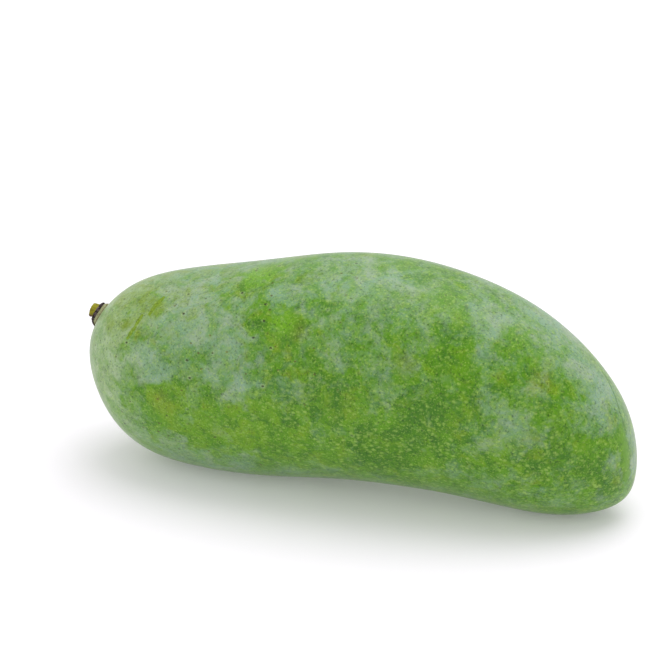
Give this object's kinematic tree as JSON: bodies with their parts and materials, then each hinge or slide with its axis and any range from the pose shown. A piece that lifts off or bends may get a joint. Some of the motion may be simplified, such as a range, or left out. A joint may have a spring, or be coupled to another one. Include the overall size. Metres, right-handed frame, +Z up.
{
  "type": "mango",
  "caption": "Long green mango, whole and unpeeled, with a full belly, a blunt beak and the dried stub of its stalk, lying on two small flat spots.",
  "frame": {"origin": "on the table, under the middle of the fruit's box", "axes": "+X from the stem end to the apex, +Z up towards the back edge, the cheeks face -Y and +Y"},
  "size_m": [0.166, 0.0588, 0.0699],
  "materials": {
    "skin": "satin waxy green fruit skin with pale blue-green bloom and small pale yellow-green dots",
    "stalk": "dried stalk, dark brown brittle ring and dull olive knob"
  },
  "bodies": {
    "root": {"mango_fruit": "skin", "stem_stub": "stalk"}
  },
  "joints": []
}
